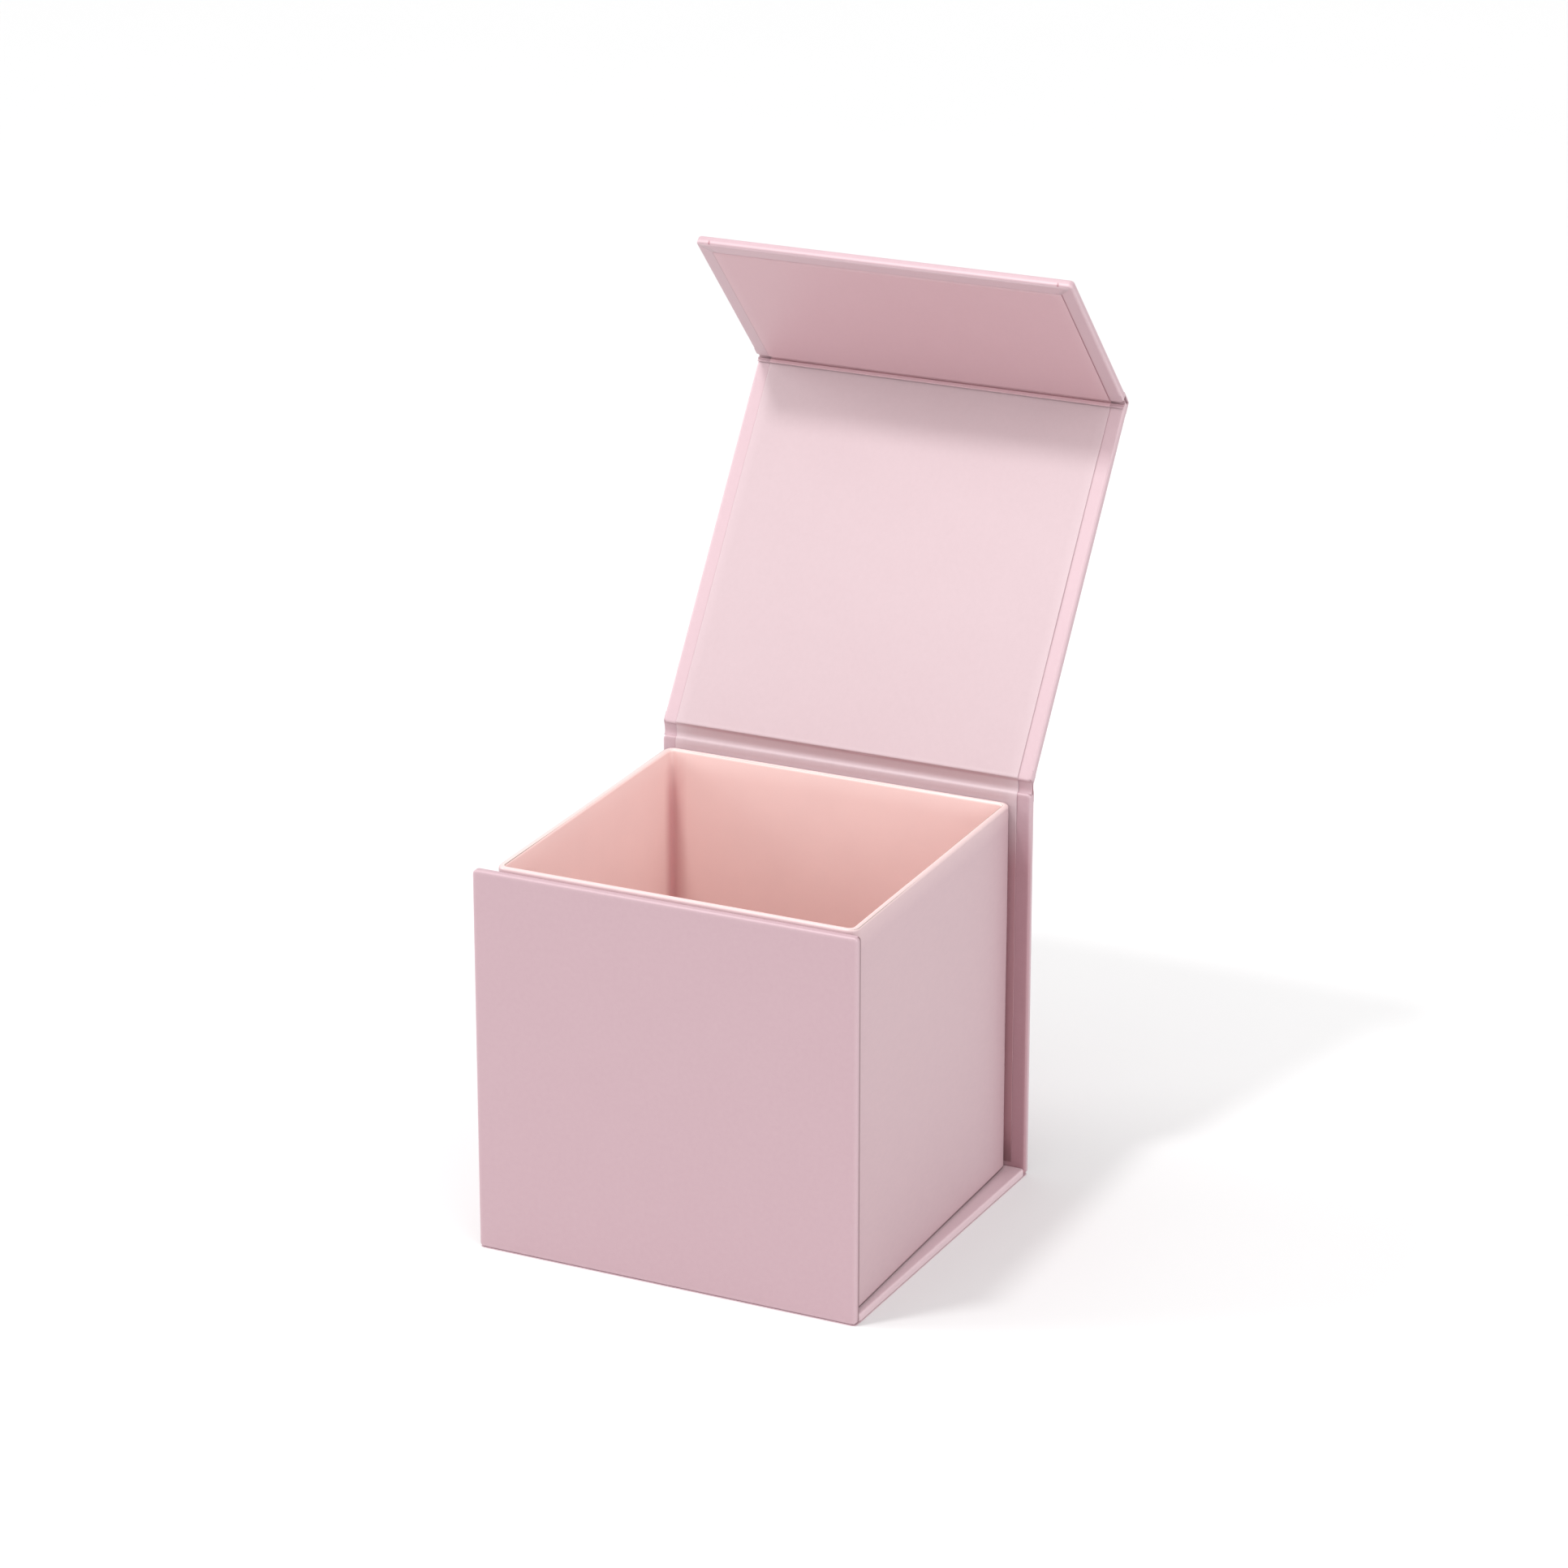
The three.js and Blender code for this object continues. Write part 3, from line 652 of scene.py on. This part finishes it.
def tray_paper():
    """The tray's covering paper, outside and in, lofted round the tray's outline."""
    profile = tray_profile()
    loops = [tray_outline(depth) for depth, _ in profile]
    count = len(loops[0])
    rim = TRAY_HI.z
    slope = RACK / (TRAY_HI.y - TRAY_LO.y)
    points, wear_and_highlight, painted_shade, gap_shade, lit_inside = [], [], [], [], []
    for loop, (depth, height) in zip(loops, profile):
        within = float(depth > TRAY_WALL * 0.6 and height > FLOOR_LO.z - 1 * MM)
        # painted highlight along the top of the rim
        wear_and_highlight += [max(0.0, 1 - (rim - height) / RIM_HIGHLIGHT_WIDTH)] * count
        # painted light: the inside takes the lighter, warmer tone
        lit_inside += [within] * count
        # painted shade: a dark line round the tray's foot, where it meets the base
        foot_shade = (1 - within) * max(0.0, min(1.0, 1.9 - (height - TRAY_LO.z) / FOOT_SHADE_HEIGHT))
        gap_shade += [foot_shade] * count
        in_corner = corner_shade(loop) * within * min(1.0, (rim - height) / CORNER_SHADE_START)
        painted_shade += list(foot_shade + in_corner)
        points += [(x + slope * y, y, height) for x, y in loop]
    points = np.array(points)
    points[:, 0] += waves(points, TRAY_WAVE_SIZE, TRAY_WAVE_HEIGHT, seed=11)
    points[:, 1] += waves(points, TRAY_WAVE_SIZE, TRAY_WAVE_HEIGHT, seed=12)
    faces = []
    for i in range(len(loops)):
        below, above = i * count, ((i + 1) % len(loops)) * count
        for j in range(count):
            k = (j + 1) % count
            faces.append((below + j, below + k, above + k, above + j))
    looks = {"wear_and_highlight": wear_and_highlight, "painted_shade": painted_shade, "gap_shade": gap_shade, "lit_inside": lit_inside}
    attributes = {key: np.array(values) for key, values in looks.items()}
    piece = add_piece("tray_cover", points, faces, TRAY_PAPER, attributes)
    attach(piece, "box")
    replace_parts(piece, "tray_wrap")


def corner_shade(loop):
    """Painted shade where the paper meets in the tray's inner corners."""
    corners = np.array([(x, y) for x in (loop[:, 0].min(), loop[:, 0].max())
                        for y in (loop[:, 1].min(), loop[:, 1].max())])
    nearest = np.min(np.linalg.norm(loop[:, None] - corners[None], axis=2), axis=1)
    return 0.85 * np.clip(1 - nearest / CORNER_SHADE_WIDTH, 0, 1)


# ---- Paper across the joints ----
TURN_IN_DEPTH = 0.24 * MM  # from a liner's face to the covering paper turned in behind it
TURN_IN_REACH = 3.6 * MM  # of that paper, to each side of the crease
TURN_IN_CREASE = 0.8  # how much of the liner's crease shade it has
SIDE_GAP = 0.1 * MM  # from a joint's paper to the ends of the boards
COVER_SINK = 0.05 * MM  # of a joint's outer paper, below the boards' outer faces
LINER_END = 1.0 * MM  # the lid's liner gives way to the flap's this far from its end


def turn_in(name, line, middle, painted_shade, seed):
    """The covering paper turned in over a joint, just behind the liner and as wide as the lid."""
    near = np.linalg.norm(line - middle, axis=1) < TURN_IN_REACH
    behind = (line - normals_of(line) * TURN_IN_DEPTH)[near]
    shade = TURN_IN_CREASE * painted_shade[near]
    return ribbon(name, behind, PAPER, LID_HI.x - SIDE_GAP, COVER, shade, seed)


def crease_shade(line, middle, width, depth, core=1.3):
    """A shade of that depth round the middle of a crease, full for core - 1 widths and gone by core."""
    return depth * np.clip(core - np.linalg.norm(line - middle, axis=1) / width, 0, 1)


def at_rest(line, body_turn):
    """(y, z) points of the closed box, turned to rest."""
    return np.array([(body_turn @ Vector((0, y, z))).yz for y, z in line])


def lid_liner_line(corner):
    """Up the back panel's inner face, across the joint's groove to the lid's corner, and over the lid."""
    back_y = BACK_LO.y - LINER_LIFT
    top = BACK_HI.z
    below_top = [62 * MM, 34 * MM, 18 * MM, 9 * MM, 4.5 * MM, 2.4 * MM, 1.4 * MM]
    spine = [(back_y, BACK_LINER_LO.z)] + [(back_y, top - down) for down in below_top]
    over_top = [(back_y + 0.2 * MM, top - 0.35 * MM), (back_y + 0.75 * MM, top + 0.2 * MM)]
    groove = [(back_y + 1.0 * MM, top + 1.2 * MM), (corner.x + 0.55 * MM, corner.y - 0.85 * MM)]
    tuck = [(corner.x + 0.42 * MM, corner.y - 0.12 * MM)]
    lid_z = LID_LO.z - LINER_LIFT
    beside_groove = [(LID_HI.y - inset, lid_z) for inset in (0.45 * MM, 1.5 * MM, 3 * MM)]
    even = [(y, lid_z) for y in np.linspace(LID_HI.y - 8 * MM, LINER_LO.y + LINER_END, 14)]
    lid = at_rest(beside_groove + even, LID_TO_REST)
    return smooth_line([*spine, *over_top, *groove, *tuck, *lid], 4)


def lid_joint_liner():
    """The liner of the back panel and the lid, with the turned-in paper behind it at the joint."""
    top = BACK_HI.z
    corner = (LID_TO_REST @ Vector((0, LID_HI.y, LID_LO.z - LINER_LIFT))).yz
    line = lid_liner_line(corner)
    middle = np.array([corner.x + 0.5 * MM, corner.y - 0.35 * MM])
    painted_shade = crease_shade(line, middle, width=0.45 * MM, depth=0.4)
    painted_shade = np.maximum(painted_shade, LINER_SLOT_SHADE * slot_shade(top - line[:, 1]))
    piece = ribbon("lid_liner_paper", line, PAPER, LINER_HI.x, LINER_SHEEN_TONED, painted_shade, 21)
    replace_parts(piece, "lid_liner", "back_liner")
    for paper in (piece, turn_in("lid_joint_turn_in", line, middle, painted_shade, 25)):
        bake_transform(paper)


def lid_joint_cover():
    """The covering paper from the back panel's outer face to the lid's."""
    top = BACK_HI.z
    y = BACK_HI.y - COVER_SINK
    lid_z = LID_HI.z - COVER_SINK
    outer, *on_lid = at_rest([(LID_HI.y - inset, lid_z) for inset in (0, 1 * MM, 2.5 * MM)], LID_TO_REST)
    half_way = (top + outer[1]) / 2
    on_back = [(y, top - 2.5 * MM), (y, top - 1 * MM), (y - 0.12 * MM, top - 0.1 * MM)]
    bend = [(y - 0.5 * MM, half_way), (outer[0] - 0.1 * MM, outer[1] + 0.1 * MM)]
    line = smooth_line([*on_back, *bend, *on_lid], 5)[::-1]
    middle = np.array([y - 0.4 * MM, half_way])
    painted_shade = crease_shade(line, middle, width=1.4 * MM, depth=1.0, core=1.2)
    half_width = LID_HI.x - SIDE_GAP
    piece = ribbon("lid_joint_paper", line, 2 * PAPER, half_width, COVER, painted_shade, 22)
    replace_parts(piece, "lid_hinge_paper")
    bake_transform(piece)


def flap_share(z):
    """How much of the flap's turn the liner takes at a height in the closed box."""
    past = (LID_LO.z - z) / (1.2 * MM)
    return min(1.0, max(0.0, past + 0.5))


def flap_line(points):
    """(y, z) points of the closed box, turned to rest by the lid and their share of the flap's turn."""
    return np.array([(flap_to_rest(flap_share(z)) @ Vector((0, y, z))).yz for y, z in points])


def flap_joint_liner():
    """The liner from the lid's end, in at the flap's crease and down the flap's inner face."""
    lid_z = LID_LO.z - LINER_LIFT
    flap_y = FLAP_HI.y + LINER_LIFT
    lid_end = LINER_LO.y + LINER_END
    on_lid = [(lid_end + past, lid_z - 0.02 * MM) for past in (1.6 * MM, 0.8 * MM)]
    tuck = [
        (flap_y - 0.15 * MM, lid_z - 0.05 * MM), (flap_y - 0.75 * MM, lid_z + 0.1 * MM),
        (flap_y - 0.8 * MM, lid_z - 0.5 * MM), (flap_y - 0.1 * MM, lid_z - 1.0 * MM),
    ]
    down = [(flap_y, lid_z - 1.9 * MM)]
    down += [(flap_y, z) for z in np.linspace(lid_z - 6 * MM, FLAP_LINER_LO.z, 10)]
    line = smooth_line(flap_line(on_lid + tuck + down), 4)
    middle = flap_line([(flap_y - 0.4 * MM, lid_z - 0.2 * MM)])[0]
    painted_shade = crease_shade(line, middle, width=0.6 * MM, depth=0.6)
    half_width = FLAP_LINER_HI.x
    piece = ribbon("flap_liner_paper_bounce_tinted", line, PAPER, half_width, FLAP_LINER_BOUNCE_TINTED, painted_shade, 23)
    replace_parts(piece, "flap_liner")
    for paper in (piece, turn_in("flap_joint_turn_in", line, middle, painted_shade, 26)):
        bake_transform(paper)


def flap_end_turn_in():
    """The covering paper folded in over the flap's free edge, with its mitred ends."""
    free = FLAP_LO.z + 0.5 * MM
    reach = LINER_INSET + 0.6 * MM
    half_thickness = 0.1 * MM
    rows = np.linspace(0, 1, 5)
    columns = np.linspace(-1, 1, 41)
    points = []
    for y in (FLAP_HI.y + half_thickness, FLAP_HI.y - half_thickness):
        for row in rows:
            half_width = FLAP_HI.x - 0.5 * MM - row * reach
            points += [(half_width * column, y, free + row * reach) for column in columns]
    count = len(columns)
    layer = count * len(rows)
    faces = []
    for base in (0, layer):
        for i in range(len(rows) - 1):
            for j in range(count - 1):
                a = base + i * count + j
                faces.append((a, a + 1, a + count + 1, a + count))
    rim = [*range(count), *range(2 * count - 1, layer, count)]
    rim += [*range(layer - 2, layer - count - 1, -1), *range(layer - 2 * count, 0, -count)]
    for a, b in zip(rim, rim[1:] + rim[:1]):
        faces.append((a, b, b + layer, a + layer))
    placed = [TO_REST["flap"] @ Vector(p) for p in points]
    wear_and_highlight = np.full(len(placed), FLAP_MARGIN)
    piece = add_piece("flap_end_turn_in", placed, faces, COVER, {"wear_and_highlight": wear_and_highlight})
    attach(piece, "flap")


def flap_joint_cover():
    """The covering paper over the lid's far edge, from its outer face to the flap's."""
    z = LID_HI.z - COVER_SINK
    y = FLAP_LO.y + COVER_SINK
    bend_height = 2.2 * MM  # the paper takes up the flap's turn over this much of its height
    top = [(LID_LO.y + 3 * MM, z), (LID_LO.y + 1 * MM, z)]
    bend = [(y + 0.35 * MM, z - 0.08 * MM), (y + 0.08 * MM, z - 0.35 * MM)]
    down = [(y, z - 1.2 * MM), (y, FLAP_HI.z), (y, FLAP_HI.z - 2 * MM)]
    turned = []
    for closed_y, closed_z in top + bend + down:
        share = min(1.0, max(0.0, (z - closed_z) / bend_height))
        turned.append((flap_to_rest(share) @ Vector((0, closed_y, closed_z))).yz)
    line = smooth_line(turned, 5)[::-1]
    painted_shade = np.zeros(len(line))
    half_width = FLAP_HI.x - SIDE_GAP
    piece = ribbon("flap_joint_paper", line, 2 * PAPER, half_width, COVER, painted_shade, 24)
    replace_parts(piece, "flap_hinge_paper")
    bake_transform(piece)


# ---- Floor, light and camera ----
def floor():
    """A plain pale floor, far wider than the view."""
    half_width = 9.0
    mesh = bpy.data.meshes.new("floor")
    work = bmesh.new()
    bmesh.ops.create_grid(work, x_segments=2, y_segments=2, size=half_width)
    work.to_mesh(mesh)
    work.free()
    s = Shader("floor")
    clouds = s.noise(per_metre=3, detail=2.0)
    s.link(s.mix(clouds, (0.77, 0.77, 0.77), (0.75, 0.75, 0.75)), s.surface.inputs["Base Color"])
    s.set(Roughness=0.9, Specular_IOR_Level=0.1)
    mesh.materials.append(s.material)
    plane = bpy.data.objects.new("floor", mesh)
    bpy.context.scene.collection.objects.link(plane)


def lamp(name, kind, direction, energy, distance=1.0):
    """A lamp that shines on the top of the lid from a direction. Gives its light, to be sized."""
    light = bpy.data.lights.new(name, kind)
    light.energy = energy
    towards = Vector(direction).normalized()
    made = bpy.data.objects.new(name, light)
    made.location = axis_at_rest("flap_hinge") + towards * distance
    made.rotation_euler = towards.to_track_quat("Z", "Y").to_euler()
    bpy.context.scene.collection.objects.link(made)
    return light


KEY_DIRECTION = (-0.185, -0.473, 0.861)


def lights():
    """A key from above the box's front left, and broad soft lights round it.

    Each broad light has a direction towards it, an energy and a width in degrees."""
    world = bpy.data.worlds.new("studio")
    world.use_nodes = True
    background = world.node_tree.nodes["Background"]
    background.inputs["Color"].default_value = (1, 1, 1, 1)
    background.inputs["Strength"].default_value = 0.92
    bpy.context.scene.world = world
    key = lamp("key", "AREA", KEY_DIRECTION, 2.9, distance=0.85)
    key.shape = "DISK"
    key.size = 0.1
    broad_lights = {
        "key_fill": (KEY_DIRECTION, 0.1, 60),
        "right": ((0.85, -0.12, 0.5), 0.62, 40),
        "right_low": ((0.75, -0.62, 0.22), 0.3, 30),
        "right_front": ((0.6, -0.6, 0.5), 0.25, 50),
        "left": ((-0.85, -0.25, 0.45), 1.25, 32),
    }
    for name, (direction, energy, width) in broad_lights.items():
        lamp(name, "SUN", direction, energy).angle = math.radians(width)
    bpy.context.scene.view_settings.view_transform = "Standard"


def camera():
    """A long lens, a little above the box and to the right of its front."""
    azimuth, elevation = math.radians(26.476), math.radians(19.709)
    distance = 1.405
    aim = Vector((0, 0, 0.080))
    side_shift, up_shift = 6.894 * MM, 38.63 * MM
    back = Vector((
        math.sin(azimuth) * math.cos(elevation),
        -math.cos(azimuth) * math.cos(elevation),
        math.sin(elevation),
    ))
    right = Vector((math.cos(azimuth), math.sin(azimuth), 0))
    up = back.cross(right)
    data = bpy.data.cameras.new("camera")
    data.sensor_width = 36.0
    data.lens = 122.72
    data.clip_start, data.clip_end = 0.05, 30
    eye = bpy.data.objects.new("camera", data)
    place = aim + back * distance + right * side_shift + up * up_shift
    columns = Matrix((right, up, back)).transposed().to_4x4()
    eye.matrix_world = Matrix.Translation(place) @ columns
    bpy.context.scene.collection.objects.link(eye)
    bpy.context.scene.camera = eye


camera()
finish_cad_nodes()
case_panels()
tray_paper()
lid_joint_liner()
lid_joint_cover()
flap_joint_liner()
flap_end_turn_in()
flap_joint_cover()
floor()
lights()
